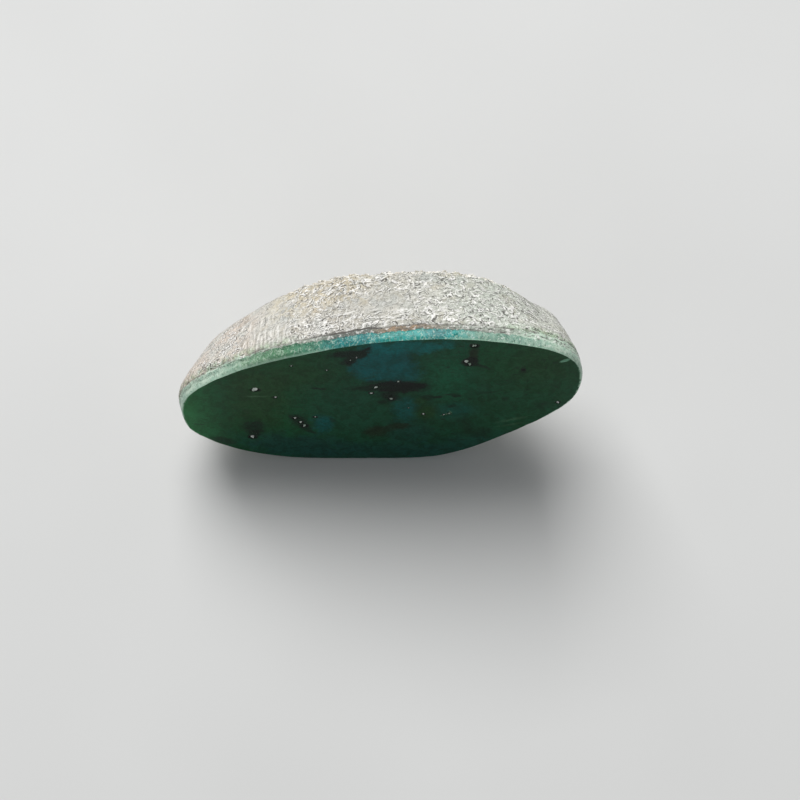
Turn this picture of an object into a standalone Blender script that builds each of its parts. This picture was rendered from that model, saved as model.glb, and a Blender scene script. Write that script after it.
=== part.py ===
"""Turquoise nugget: a thin layer of green turquoise grown on thick pale host rock, one natural piece.

One side is cut and polished flat, the belt round it is ground to a taper, and the back is left as the
rock broke. The stone stands on a flat spot of its belt with the polished face towards -Y, leaning back a
little. The origin is on the surface that it stands on, under the middle of its bounding box, with +X to the
right and +Z up.

The shape is worked out in millimetres on the polished face's own axes: u across, v up along the face and w
straight into the stone. Only the last step turns it into place and into metres.
"""

import math

import bmesh
import bpy
import numpy as np
from mathutils import Vector, noise

MM = 0.001

LEAN = math.radians(15.0)

# The rim of the polished face, from its lowest point round by the right. Each row is u, v, how thick the
# stone is there, how far its back rim is drawn in from the face's rim, and how far its girdle stands out
# past the face's rim.
RIM = (
    (-1.6, -0.30, 7.2, 2.00, 0.00),
    (3.3, 0.20, 7.0, 1.90, 0.02),
    (6.4, 1.70, 6.7, 1.80, 0.06),
    (9.5, 4.70, 6.4, 1.80, 0.08),
    (12.5, 8.10, 6.1, 1.80, 0.06),
    (14.5, 11.40, 6.0, 1.90, -0.08),
    (15.0, 14.80, 5.9, 2.25, -0.18),
    (14.3, 17.90, 5.7, 3.05, -0.12),
    (12.2, 19.95, 5.6, 2.95, 0.02),
    (8.2, 21.25, 6.1, 2.00, 0.08),
    (4.4, 21.60, 6.5, 1.85, 0.12),
    (0.1, 21.10, 6.6, 1.80, 0.15),
    (-4.3, 19.65, 6.7, 1.45, 0.18),
    (-8.65, 17.65, 6.4, 2.10, 0.22),
    (-12.35, 14.65, 6.2, 2.55, 0.26),
    (-14.45, 11.80, 6.2, 2.60, 0.30),
    (-15.05, 8.70, 6.4, 2.10, 0.32),
    (-14.35, 5.15, 6.6, 1.70, 0.25),
    (-11.2, 1.95, 6.9, 1.75, 0.12),
    (-6.4, 0.20, 7.1, 1.90, 0.03),
)

RIM_SIZES = 5
STATIONS = 160

# The belt, from the polished face back to the broken side. Its widest line is the girdle.
EDGE_ROUND = 0.20
EDGE_TURNS = (0.0, math.radians(45.0), math.radians(90.0))
LAYER_DEPTH = 0.95
GIRDLE_DEPTH = 1.3
GIRDLE_RISE = (0.55, 0.75)
BELT_SHARES = (0.18, 0.38, 0.58, 0.78, 1.0)
BELT_SWELL, SWELL_PER_BULGE = 0.04, 0.3
BACK_ROUND = 0.35
BACK_TURN = (0.08, 0.45)
GROUND_HEIGHT, GROUND_SIZE = 0.05, 3.7

# The crumbly strip along the top of the back rim: where it runs, how wide its ends fade, and its lumps.
CRUMB_FROM, CRUMB_TO, CRUMB_FADE = -8.6, 9.5, 0.8
CRUMB_LOW, CRUMB_FULL = 9.0, 13.0
CRUMB_DEPTH, CRUMB_FULL_DEPTH = 1.5, 0.45
CRUMB_HEIGHT, CRUMB_SIZE = 0.44, 1.1

# The broken back: a low dome with lumps of three sizes, ledges and pits, which fade out at its rim.
DOME = 0.55
LUMPS = ((0.60, 5.2), (0.34, 2.2), (0.14, 1.1))
RIM_FADE = 0.90
BACK_RINGS = (0.965, 0.915, 0.86, 0.80, 0.735, 0.665)
INNER_RINGS = (0.59, 0.51, 0.43, 0.35)
CORE_RINGS = (0.27, 0.19, 0.11, 0.04)
# Each ledge is a step down across the back: a point on its edge, the way that it drops, its height.
LEDGES = (
    ((-6.0, 12.5), (-0.86, 0.50), 0.60),
    ((5.5, 9.0), (0.62, -0.78), 0.45),
)
LEDGE_WIDTH = 0.9
LEDGE_WANDER, WANDER_SIZE = 1.4, 3.1
# Each pit is a hollow in the back: its middle, its radius, its depth.
PITS = (
    ((-10.6, 8.6), 1.3, 0.55),
    ((-3.3, 6.2), 1.6, 0.70),
    ((1.2, 15.8), 1.2, 0.55),
    ((6.6, 13.4), 1.7, 0.75),
    ((10.4, 15.9), 0.9, 0.40),
    ((-5.2, 15.4), 1.0, 0.45),
    ((2.9, 4.6), 0.9, 0.40),
)
PIT_FLOOR = 0.25

# The flat that the stone stands on, under its centre of mass: the corners' x and y, clockwise from above.
# The ground round it rises a little towards the belt.
SEAT = ((-3.15, 7.3), (2.05, 6.9), (3.1, 4.4), (-2.85, 4.2))
SEAT_RISE = math.radians(2.5)
# Points this close to the floor's plane are slid onto it, so that its edge has no slivers.
FLAT_SNAP = 0.06

TURQUOISE = (0.020, 0.085, 0.052, 1.0)
HOST_ROCK = (0.58, 0.55, 0.50, 1.0)
SHARP_ANGLE = math.radians(35.0)


def smooth_step(value, low, high):
    """0 below low, 1 above high, and an even curve between them."""
    share = min(1.0, max(0.0, (value - low) / (high - low)))
    return share * share * (3.0 - 2.0 * share)


def rim_curve(share):
    """A point of the closed curve through the rim's rows, at a share of the way round, with its sizes."""
    rows = np.array(RIM)
    place = share * len(rows)
    first = int(place)
    t = place - first
    before, start, end, after = (rows[(first + step) % len(rows)] for step in (-1, 0, 1, 2))
    return 0.5 * (
        2.0 * start
        + (end - before) * t
        + (2.0 * before - 5.0 * start + 4.0 * end - after) * t**2
        + (3.0 * start - before - 3.0 * end + after) * t**3
    )


def rim_stations():
    """Rows at even steps along the rim: u, v, the row's three sizes, and the outward direction there."""
    steps = 24 * STATIONS
    fine = np.array([rim_curve(k / steps) for k in range(steps)])
    closed = np.vstack([fine, fine[:1]])
    length = np.concatenate([[0.0], np.cumsum(np.linalg.norm(np.diff(closed[:, :2], axis=0), axis=1))])
    places = np.linspace(0.0, length[-1], STATIONS, endpoint=False)
    rows = np.stack([np.interp(places, length, closed[:, k]) for k in range(RIM_SIZES)], axis=1)
    along = np.roll(rows[:, :2], -1, axis=0) - np.roll(rows[:, :2], 1, axis=0)
    along /= np.linalg.norm(along, axis=1, keepdims=True)
    outward = np.stack([along[:, 1], -along[:, 0]], axis=1)
    return np.hstack([rows, outward])


def belt_profile(thickness, drawn_in, bulge):
    """The belt's profile at one station: pairs of depth behind the face and distance outside its rim."""
    profile = []
    for turn in EDGE_TURNS:
        profile.append((EDGE_ROUND * (1.0 - math.cos(turn)), EDGE_ROUND * (math.sin(turn) - 1.0)))
    profile.append((GIRDLE_RISE[0] * GIRDLE_DEPTH, GIRDLE_RISE[1] * bulge))
    profile.append((GIRDLE_DEPTH, bulge))
    run = thickness - BACK_ROUND - GIRDLE_DEPTH
    slope = (drawn_in + bulge) / (thickness - GIRDLE_DEPTH)
    for share in BELT_SHARES:
        swell = (BELT_SWELL + SWELL_PER_BULGE * bulge) * 4.0 * share * (1.0 - share)
        profile.append((GIRDLE_DEPTH + run * share, bulge - slope * run * share + swell))
    profile.append((thickness - BACK_TURN[0] * BACK_ROUND, -drawn_in - BACK_TURN[1] * BACK_ROUND))
    return profile


def crumbliness(u, v, depth, thickness):
    """How rough the belt is at a place: 1 on the crumbly strip along the back rim, 0 where it is ground."""
    left_end = smooth_step(u, CRUMB_FROM - CRUMB_FADE, CRUMB_FROM)
    right_end = 1.0 - smooth_step(u, CRUMB_TO, CRUMB_TO + CRUMB_FADE)
    upper = smooth_step(v, CRUMB_LOW, CRUMB_FULL)
    near_back = smooth_step(depth, thickness - CRUMB_DEPTH, thickness - CRUMB_FULL_DEPTH)
    return left_end * right_end * upper * near_back


def belt_relief(u, v, depth, thickness):
    """How far the belt's surface stands out from its smooth profile, in lumps."""
    spot = Vector((u, v, depth))
    crumbs = CRUMB_HEIGHT * abs(noise.noise(spot / CRUMB_SIZE))
    ground = GROUND_HEIGHT * noise.noise(spot / GROUND_SIZE)
    rock = smooth_step(depth, LAYER_DEPTH, 2.0 * GIRDLE_DEPTH)
    return crumbs * crumbliness(u, v, depth, thickness) + ground * rock


def back_relief(u, v, share):
    """How far the broken back stands out behind its rim's plane, at a share of the way out to its rim."""
    height = DOME * (1.0 - share**2)
    for size, spread in LUMPS:
        height += size * noise.noise(Vector((u, v, 11.0 * size)) / spread)
    wander = LEDGE_WANDER * noise.noise(Vector((u, v, WANDER_SIZE)) / WANDER_SIZE)
    for (edge_u, edge_v), (drop_u, drop_v), step in LEDGES:
        past = (u - edge_u) * drop_u + (v - edge_v) * drop_v + wander
        height -= step * smooth_step(past, -0.5 * LEDGE_WIDTH, 0.5 * LEDGE_WIDTH)
    for (pit_u, pit_v), radius, depth in PITS:
        away = math.hypot(u - pit_u, v - pit_v)
        height -= depth * (1.0 - smooth_step(away, PIT_FLOOR * radius, radius))
    return height * (1.0 - smooth_step(share, RIM_FADE, 1.0))


def belt_rings(stations):
    """Rings of points round the belt, from the polished face's own rim to just inside the back rim."""
    profiles = [belt_profile(*row[2:5]) for row in stations]
    rings = []
    for level in range(len(profiles[0])):
        ring = []
        for row, profile in zip(stations, profiles):
            u, v, thickness, _, _, out_u, out_v = row
            depth, outside = profile[level]
            outside += belt_relief(u + out_u * outside, v + out_v * outside, depth, thickness)
            ring.append((u + out_u * outside, v + out_v * outside, depth))
        rings.append(ring)
    return rings


def back_ring(rim, middle, share, step):
    """One ring of the back, at a share of the way from its middle to its rim, by every step-th station."""
    ring = []
    for point in rim[::step]:
        # The back slants with the thickness, so a place inside takes its share of the rim's own depth too.
        u, v, depth = middle + (np.array(point) - middle) * share
        ring.append((u, v, depth + back_relief(u, v, share)))
    return ring


def bridge(bm, outer, inner):
    """Faces between two rings, where the inner one has as many points as the outer or half as many."""
    count = len(outer)
    if len(inner) == count:
        for k in range(count):
            after = (k + 1) % count
            bm.faces.new((outer[k], outer[after], inner[after], inner[k]))
        return
    for k in range(len(inner)):
        after = (k + 1) % len(inner)
        first, second, third = outer[2 * k], outer[2 * k + 1], outer[(2 * k + 2) % count]
        bm.faces.new((first, second, inner[k]))
        bm.faces.new((second, third, inner[after]))
        bm.faces.new((second, inner[after], inner[k]))


def to_place(u, v, w):
    """A point on the face's axes, in millimetres, as a point of the standing stone in metres."""
    y = v * math.sin(LEAN) + w * math.cos(LEAN)
    z = v * math.cos(LEAN) - w * math.sin(LEAN)
    return Vector((u, y, z)) * MM


def grown_stone():
    """The whole stone as one closed skin, before its underside is ground."""
    bm = bmesh.new()
    rings = belt_rings(rim_stations())
    rim = rings[-1]
    middle = np.array(rim).mean(axis=0)
    for shares, step in ((BACK_RINGS, 1), (INNER_RINGS, 2), (CORE_RINGS, 4)):
        rings += [back_ring(rim, middle, share, step) for share in shares]
    placed = [[bm.verts.new(to_place(*point)) for point in ring] for ring in rings]
    for outer, inner in zip(placed, placed[1:]):
        bridge(bm, outer, inner)
    bm.faces.new(placed[0][::-1])
    u, v, depth = middle
    peak = bm.verts.new(to_place(u, v, depth + back_relief(u, v, 0.0)))
    core = placed[-1]
    for k, corner in enumerate(core):
        bm.faces.new((corner, core[(k + 1) % len(core)], peak))
    bmesh.ops.recalc_face_normals(bm, faces=bm.faces[:])
    return bm


def ground_planes():
    """The planes that the underside is ground to, each as a point on it and the side that is taken off."""
    yield Vector((0.0, 0.0, 0.0)), Vector((0.0, 0.0, -1.0))
    corners = [Vector((x, y, 0.0)) * MM for x, y in SEAT]
    for start, end in zip(corners, corners[1:] + corners[:1]):
        along = (end - start).normalized()
        outward = Vector((-along.y, along.x, 0.0))
        yield start, outward * math.sin(SEAT_RISE) - Vector((0.0, 0.0, math.cos(SEAT_RISE)))


def grind_underside(bm):
    """Cuts off what reaches past each ground plane and closes the cut, which leaves the seat at z = 0."""
    along_face = to_place(0.0, 1.0, 0.0).normalized()
    for vert in bm.verts:
        if abs(vert.co.z) < FLAT_SNAP * MM:
            vert.co -= along_face * (vert.co.z / along_face.z)
            vert.co.z = 0.0
    for point, taken_off in ground_planes():
        cut = bmesh.ops.bisect_plane(
            bm,
            geom=bm.verts[:] + bm.edges[:] + bm.faces[:],
            dist=1e-8,
            plane_co=point,
            plane_no=taken_off,
            clear_outer=True,
        )
        edges = [item for item in cut["geom_cut"] if isinstance(item, bmesh.types.BMEdge)]
        bmesh.ops.contextual_create(bm, geom=edges)


def centre(bm):
    """Moves the stone so that the middle of its bounding box is over the origin."""
    spots = np.array([vert.co for vert in bm.verts])
    middle = (spots.min(axis=0) + spots.max(axis=0)) / 2.0
    bmesh.ops.translate(bm, verts=bm.verts[:], vec=(-middle[0], -middle[1], 0.0))


def principled(name, colour, roughness):
    """A plain material of one colour."""
    material = bpy.data.materials.new(name)
    material.use_nodes = True
    shader = material.node_tree.nodes["Principled BSDF"]
    shader.inputs["Base Color"].default_value = colour
    shader.inputs["Roughness"].default_value = roughness
    shader.inputs["Metallic"].default_value = 0.0
    material.diffuse_color = colour
    return material


def paint(mesh, front):
    """Gives the turquoise layer its own colour: the faces whose middle is no deeper than the layer."""
    into = to_place(0.0, 0.0, 1.0).normalized()
    for face in mesh.polygons:
        depth = (face.center - front).dot(into)
        face.material_index = 0 if depth < LAYER_DEPTH * MM else 1


def main():
    for item in list(bpy.data.objects):
        bpy.data.objects.remove(item, do_unlink=True)

    bm = grown_stone()
    grind_underside(bm)
    centre(bm)
    bmesh.ops.triangulate(bm, faces=bm.faces[:])
    mesh = bpy.data.meshes.new("turquoise_nugget")
    bm.to_mesh(mesh)
    bm.free()
    mesh.materials.append(principled("polished turquoise", TURQUOISE, 0.22))
    mesh.materials.append(principled("host rock", HOST_ROCK, 0.85))
    paint(mesh, min((vert.co for vert in mesh.vertices), key=lambda spot: spot.y))
    mesh.shade_smooth()
    mesh.set_sharp_from_angle(angle=SHARP_ANGLE)
    stone = bpy.data.objects.new("turquoise_nugget", mesh)
    bpy.context.scene.collection.objects.link(stone)


main()
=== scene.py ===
"""A turquoise nugget with one polished face, dressed for a plain studio picture.

The stone is one natural piece: a thin layer of green turquoise on thick pale host rock. Its front is cut and
polished flat, its belt is ground by hand and its back is left as the rock broke. The skin takes its shape from
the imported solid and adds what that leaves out: the worn cutting edge, grain, winding pits, scratches, the
crumbs along the back rim and the bright mineral grains of the polished face.

Lengths are in millimetres on the polished face's own axes (across, up along the face, depth into the stone)
until a point is put in place.
"""

import logging
import math
import random
from collections.abc import Callable, Sequence
from dataclasses import dataclass, field
from enum import IntEnum

import bmesh
import bpy
import numpy as np
from mathutils import Matrix, Vector, noise
from mathutils.bvhtree import BVHTree
from mathutils.kdtree import KDTree

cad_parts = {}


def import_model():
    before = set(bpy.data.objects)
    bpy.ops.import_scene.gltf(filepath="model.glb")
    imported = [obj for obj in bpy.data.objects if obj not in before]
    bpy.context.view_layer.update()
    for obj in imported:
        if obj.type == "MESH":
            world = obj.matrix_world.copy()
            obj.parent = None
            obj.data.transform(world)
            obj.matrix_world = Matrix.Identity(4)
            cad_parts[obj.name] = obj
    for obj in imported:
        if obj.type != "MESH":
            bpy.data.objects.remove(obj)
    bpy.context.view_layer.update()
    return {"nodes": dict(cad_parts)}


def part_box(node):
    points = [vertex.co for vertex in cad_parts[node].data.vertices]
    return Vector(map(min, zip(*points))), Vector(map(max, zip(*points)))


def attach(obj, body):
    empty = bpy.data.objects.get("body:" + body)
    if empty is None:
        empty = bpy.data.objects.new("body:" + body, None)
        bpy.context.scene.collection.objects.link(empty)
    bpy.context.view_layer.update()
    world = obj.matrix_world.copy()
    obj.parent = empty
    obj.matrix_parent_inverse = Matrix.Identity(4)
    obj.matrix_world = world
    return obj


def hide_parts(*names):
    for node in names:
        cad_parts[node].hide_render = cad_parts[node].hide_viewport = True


LOG = logging.getLogger("turquoise_nugget")
MM = 0.001
NODE = "turquoise_nugget"
BAKE_MAP = "OFBake"
LEAN = 15.0  # how far the polished face leans back, in degrees
CREASE = 35.0  # the sharpest bend that is still shaded smooth on a grain, in degrees
REACH = 15.0  # how far colours run along the stone, to each side of its middle
OUTSIDE = 40.0  # how far out the rays start that look for the stone's surface
PROUD = 1.012  # how large the dressed stone may get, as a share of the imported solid
MAP_SIDE, MAP_GAP = 46.0, 0.3  # the flat map's side and the gap round its parts
STRIP_LEFT, STRIP_PITCH, RING_PITCH = 31.2, 7.4, 0.145  # the belt's two strips in the map, and a ring's width there
MIX_SHARE, MIX_FIRST, MIX_SECOND, MIX_COLOUR = 0, 6, 7, 2  # a colour mix's sockets

Colour = tuple[float, float, float]


def smooth_step(value: float, low: float, high: float) -> float:
    """Eases from 0 to 1 as a value passes through a range.

    Args:
        value: The value.
        low: Where the answer is still 0.
        high: Where it has become 1.

    Returns:
        The eased share, from 0 to 1.
    """
    share = min(1.0, max(0.0, (value - low) / (high - low)))
    return share * share * (3.0 - 2.0 * share)


def hill(value: float, centre: float, width: float) -> float:
    """A round hill of height 1 at its centre.

    Args:
        value: The value.
        centre: Where the hill's top is.
        width: How far from the top it has fallen to about a third.

    Returns:
        The hill's height at the value.
    """
    return math.exp(-(((value - centre) / width) ** 2))


def deselect_all() -> None:
    """Leaves object mode's selection empty, because an operator acts on all that is selected."""
    if bpy.context.object is not None and bpy.context.object.mode != "OBJECT":
        bpy.ops.object.mode_set(mode="OBJECT")
    bpy.ops.object.select_all(action="DESELECT")


def make_active(piece: bpy.types.Object) -> None:
    """Selects one object alone and makes it the active one.

    Args:
        piece: The object.
    """
    deselect_all()
    piece.select_set(True)
    bpy.context.view_layer.objects.active = piece


def select_edges(piece: bpy.types.Object, wanted: Callable[[bmesh.types.BMesh, bmesh.types.BMEdge], bool]) -> None:
    """Opens a piece in edit mode with the wanted edges alone selected.

    Args:
        piece: The piece.
        wanted: Says of the piece's mesh and one of its edges whether it is selected.
    """
    make_active(piece)
    bpy.ops.object.mode_set(mode="EDIT")
    bpy.ops.mesh.select_mode(type="EDGE")
    bpy.ops.mesh.select_all(action="DESELECT")
    sheet = bmesh.from_edit_mesh(piece.data)
    for edge in sheet.edges:
        edge.select_set(wanted(sheet, edge))
    bmesh.update_edit_mesh(piece.data)


def evened(values: np.ndarray, times: int, axis: int = 0) -> np.ndarray:
    """Evens values out along a closed ring.

    Args:
        values: The values.
        times: How many times each is mixed with its two neighbours.
        axis: The array's axis that runs round the ring.

    Returns:
        The evened values.
    """
    for _ in range(times):
        values = (np.roll(values, 1, axis=axis) + 2.0 * values + np.roll(values, -1, axis=axis)) / 4.0
    return values


@dataclass(frozen=True)
class FaceAxes:
    """The polished face's own axes on the standing stone.

    Attributes:
        lean: How far the face leans back from upright, in radians.
        front: Where the face's plane meets the floor, on Y.
    """

    lean: float
    front: float

    @classmethod
    def of_node(cls, node: bpy.types.Object, lean: float) -> "FaceAxes":
        """Finds the face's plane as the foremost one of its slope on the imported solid.

        Args:
            node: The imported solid.
            lean: How far the face leans back.

        Returns:
            The axes with their origin at the face's foot.
        """
        spots = np.array([vert.co for vert in node.data.vertices]) / MM
        depths = spots[:, 1] * math.cos(lean) - spots[:, 2] * math.sin(lean)
        return cls(lean=lean, front=float(depths.min()) / math.cos(lean))

    def turned(self, across: float, up: float, depth: float) -> Vector:
        """Turns a direction from the face's axes to the scene's, without scaling it."""
        sine, cosine = math.sin(self.lean), math.cos(self.lean)
        return Vector((across, up * sine + depth * cosine, up * cosine - depth * sine))

    def placed(self, across: float, up: float, depth: float) -> Vector:
        """Turns a point on the face's axes into a point of the scene, in metres."""
        return (self.turned(across, up, depth) + Vector((0.0, self.front, 0.0))) * MM

    def local(self, spot: Vector) -> tuple[float, float, float]:
        """Reads a point of the scene on the face's axes.

        Args:
            spot: The point, in metres.

        Returns:
            Its places across, up and into the stone, in millimetres.
        """
        sine, cosine = math.sin(self.lean), math.cos(self.lean)
        y, z = spot.y / MM - self.front, spot.z / MM
        return spot.x / MM, y * sine + z * cosine, y * cosine - z * sine


class PackedSurface:
    """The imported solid's surface, which rays find."""

    def __init__(self, node: bpy.types.Object, axes: FaceAxes) -> None:
        """Merges a copy of the node's loose triangles and prepares it for rays.

        Args:
            node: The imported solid.
            axes: The polished face's axes.
        """
        self.axes = axes
        copy = bmesh.new()
        copy.from_mesh(node.data)
        bmesh.ops.remove_doubles(copy, verts=copy.verts[:], dist=1e-7)
        self.tree = BVHTree.FromBMesh(copy)
        copy.free()

    def seen(self, inner: Vector, way: Vector) -> Vector:
        """Finds where the stone's surface is furthest out on a ray, by looking back along it from outside.

        Args:
            inner: A point inside the stone, on the face's axes.
            way: The ray's direction from there, on the face's axes.

        Returns:
            The point on the surface, on the face's axes.
        """
        way = way.normalized()
        spot, _, _, _ = self.tree.ray_cast(self.axes.placed(*(inner + way * OUTSIDE)), -self.axes.turned(*way))
        return Vector(self.axes.local(spot))


class Signal:
    """A number, place or colour in a material: a node's output, with arithmetic that adds the nodes it takes."""

    def __init__(self, bench: "Bench", socket: bpy.types.NodeSocket) -> None:
        """Keeps the bench and the output."""
        self.bench, self.socket = bench, socket

    def __add__(self, other: "Signal | float") -> "Signal":
        """The sum with another number."""
        return self.bench.maths("ADD", self, other)

    def __sub__(self, other: "Signal | float") -> "Signal":
        """The difference from another number."""
        return self.bench.maths("SUBTRACT", self, other)

    def __rsub__(self, other: float) -> "Signal":
        """What is left of a plain number."""
        return self.bench.maths("SUBTRACT", other, self)

    def __mul__(self, other: "Signal | float") -> "Signal":
        """The product with another number."""
        return self.bench.maths("MULTIPLY", self, other)

    def __abs__(self) -> "Signal":
        """How far it is from 0."""
        return self.bench.maths("ABSOLUTE", self)

    def most(self, other: "Signal | float") -> "Signal":
        """The larger of the two."""
        return self.bench.maths("MAXIMUM", self, other)

    def step(self, low: float, high: float) -> "Signal":
        """Eases from 0 to 1 as it passes from low to high, of which either may be the larger.

        Args:
            low: Where the answer is still 0.
            high: Where it has become 1.

        Returns:
            The eased share.
        """
        swap = low > high
        inputs = {"Value": self, "From Min": min(low, high), "From Max": max(low, high)}
        inputs |= {"To Min": float(swap), "To Max": float(not swap)}
        return self.bench.node("MapRange", inputs, "Result", interpolation_type="SMOOTHSTEP")


class Bench:
    """A material on the bench: its node tree and the place that its patterns read, in millimetres."""

    def __init__(self, name: str, axes: FaceAxes | None = None) -> None:
        """Makes the material with its shader and finds the place.

        Args:
            name: The material's name.
            axes: The polished face's axes, where the patterns follow them and not the scene's.
        """
        self.material = bpy.data.materials.new(name)
        self.material.use_nodes = True
        self.tree = self.material.node_tree
        self.shader = self.tree.nodes["Principled BSDF"]
        inputs = {"Vector": self.node("TexCoord", {}, "Object"), "Scale": (1.0 / MM,) * 3}
        if axes is not None:
            sine, cosine = math.sin(axes.lean), math.cos(axes.lean)
            inputs["Location"] = (0.0, -axes.front * sine, -axes.front * cosine)
            inputs["Rotation"] = (-math.pi / 2.0 - axes.lean, 0.0, 0.0)
            inputs["Scale"] = (1.0 / MM, -1.0 / MM, 1.0 / MM)
        self.place = self.node("Mapping", inputs)
        self.across, _, self.depth = self.split(self.place)

    def feed(self, socket: bpy.types.NodeSocket, value: object) -> None:
        """Links a signal to a socket, or sets the socket's own value."""
        if isinstance(value, Signal):
            self.tree.links.new(value.socket, socket)
        elif isinstance(value, tuple) and socket.type == "RGBA":
            socket.default_value = (*value, 1.0)
        else:
            socket.default_value = value

    def add(self, kind: str, inputs: dict[str | int, object], **settings: object) -> bpy.types.Node:
        """Adds a node.

        Args:
            kind: The node's type, without its ShaderNode prefix.
            inputs: What goes into its sockets, by name or number: a signal or a plain value.
            settings: The node's own settings.

        Returns:
            The node.
        """
        made = self.tree.nodes.new("ShaderNode" + kind)
        for name, value in settings.items():
            setattr(made, name, value)
        for key, value in inputs.items():
            self.feed(made.inputs[key], value)
        return made

    def node(self, kind: str, inputs: dict[str | int, object], output: str | int = 0, **settings: object) -> Signal:
        """Adds a node as add does, and gives one of its outputs."""
        return Signal(self, self.add(kind, inputs, **settings).outputs[output])

    def maths(self, operation: str, first: object, second: object = 0.0) -> Signal:
        """One sum of two numbers."""
        return self.node("Math", {0: first, 1: second}, operation=operation)

    def blend(self, share: object, first: object, second: object, mode: str = "MIX") -> Signal:
        """Mixes two colours by a share."""
        inputs = {MIX_SHARE: share, MIX_FIRST: first, MIX_SECOND: second}
        return self.node("Mix", inputs, MIX_COLOUR, data_type="RGBA", blend_type=mode)

    def tint(self, share: object, colour: object, factor: object) -> Signal:
        """Multiplies a colour by another one, by a share."""
        return self.blend(share, colour, factor, "MULTIPLY")

    def noise(
        self, size: float, detail: float = 2.0, roughness: float = 0.5, distortion: float = 0.0,
        at: Signal | None = None,
    ) -> Signal:
        """Soft noise around 0.5 with grains of about the given size, read at the bench's place or at another."""
        inputs = {"Vector": at or self.place, "Scale": 1.0 / size, "Detail": detail, "Roughness": roughness}
        return self.node("TexNoise", inputs | {"Distortion": distortion}, "Fac")

    def scaled(self, sizes: Sequence[float], at: Signal | None = None) -> Signal:
        """Stretches a pattern: each axis of the bench's place, or of another, is divided by its size."""
        return self.node("Mapping", {"Vector": at or self.place, "Scale": tuple(1.0 / size for size in sizes)})

    def split(self, place: Signal) -> tuple[Signal, ...]:
        """Takes a place apart into across, up and depth."""
        return tuple(Signal(self, part) for part in self.add("SeparateXYZ", {0: place}).outputs)

    def warped(self, size: float, reach: float) -> Signal:
        """Moves the place about by noise, which makes straight borders irregular.

        Args:
            size: How far apart the bends are.
            reach: How far it is moved.

        Returns:
            The moved place.
        """
        drift = self.node("TexNoise", {"Vector": self.place, "Scale": 1.0 / size, "Detail": 3.0}, "Color")
        centred = self.node("VectorMath", {0: drift, 1: (0.5, 0.5, 0.5)}, operation="SUBTRACT")
        moved = self.node("VectorMath", {0: centred, "Scale": reach}, operation="SCALE")
        return self.node("VectorMath", {0: self.place, 1: moved}, operation="ADD")

    def ramp(self, value: Signal, stops: Sequence[tuple[float, Colour]]) -> Signal:
        """Colours along the stone, from its left end to its right.

        Args:
            value: The place across.
            stops: Pairs of a place across and the colour there.

        Returns:
            The colour.
        """
        share = self.node("MapRange", {"Value": value, "From Min": -REACH, "From Max": REACH}, "Result")
        made = self.add("ValToRGB", {"Fac": share})
        points = made.color_ramp.elements
        while len(points) < len(stops):
            points.new(0.5)
        for point, (place, colour) in zip(points, stops):
            point.position = (place + REACH) / (2.0 * REACH)
            point.color = (*colour, 1.0)
        return Signal(self, made.outputs["Color"])

    def attribute(self, name: str, output: str = "Fac") -> Signal:
        """Reads one of the skin's own attributes."""
        return self.node("Attribute", {}, output, attribute_name=name)

    def bump(self, height: Signal, reach: float, below: Signal | None = None) -> Signal:
        """Bump from a height between 0 and 1.

        Args:
            height: The height.
            reach: How high 1 stands, in metres.
            below: The normal that it adds to.

        Returns:
            The normal.
        """
        inputs = {"Height": height, "Distance": reach, "Strength": 1.0}
        if below is not None:
            inputs["Normal"] = below
        return self.node("Bump", inputs, "Normal")

    def finish(self, **inputs: object) -> bpy.types.Material:
        """Feeds the shader, each socket by its name in small letters, and gives the material."""
        for socket in self.shader.inputs:
            key = socket.name.lower().replace(" ", "_")
            if key in inputs:
                self.feed(socket, inputs[key])
        return self.material


@dataclass(frozen=True)
class Patch:
    """An oval patch of another colour on the polished face.

    Attributes:
        centre: Its middle, across and up the face.
        radii: Its two radii before it is turned.
        turn: How far it is turned, in degrees.
        soft: How wide its border is, as a share of its radii.
        colour: Its colour.
        strength: How much of its colour shows in its middle.
    """

    centre: tuple[float, float]
    radii: tuple[float, float]
    turn: float
    soft: float
    colour: Colour
    strength: float


@dataclass(frozen=True)
class Speck:
    """A pit in the polished face, with or without a bright grain in it.

    Attributes:
        centre: Its middle, across and up the face.
        radius: The pit's radius.
        depth: How deep the pit is.
        grain: The radius of the bright grain in it, or 0.
        stain: The radius of the dark stain round it.
    """

    centre: tuple[float, float]
    radius: float
    depth: float
    grain: float
    stain: float


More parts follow.
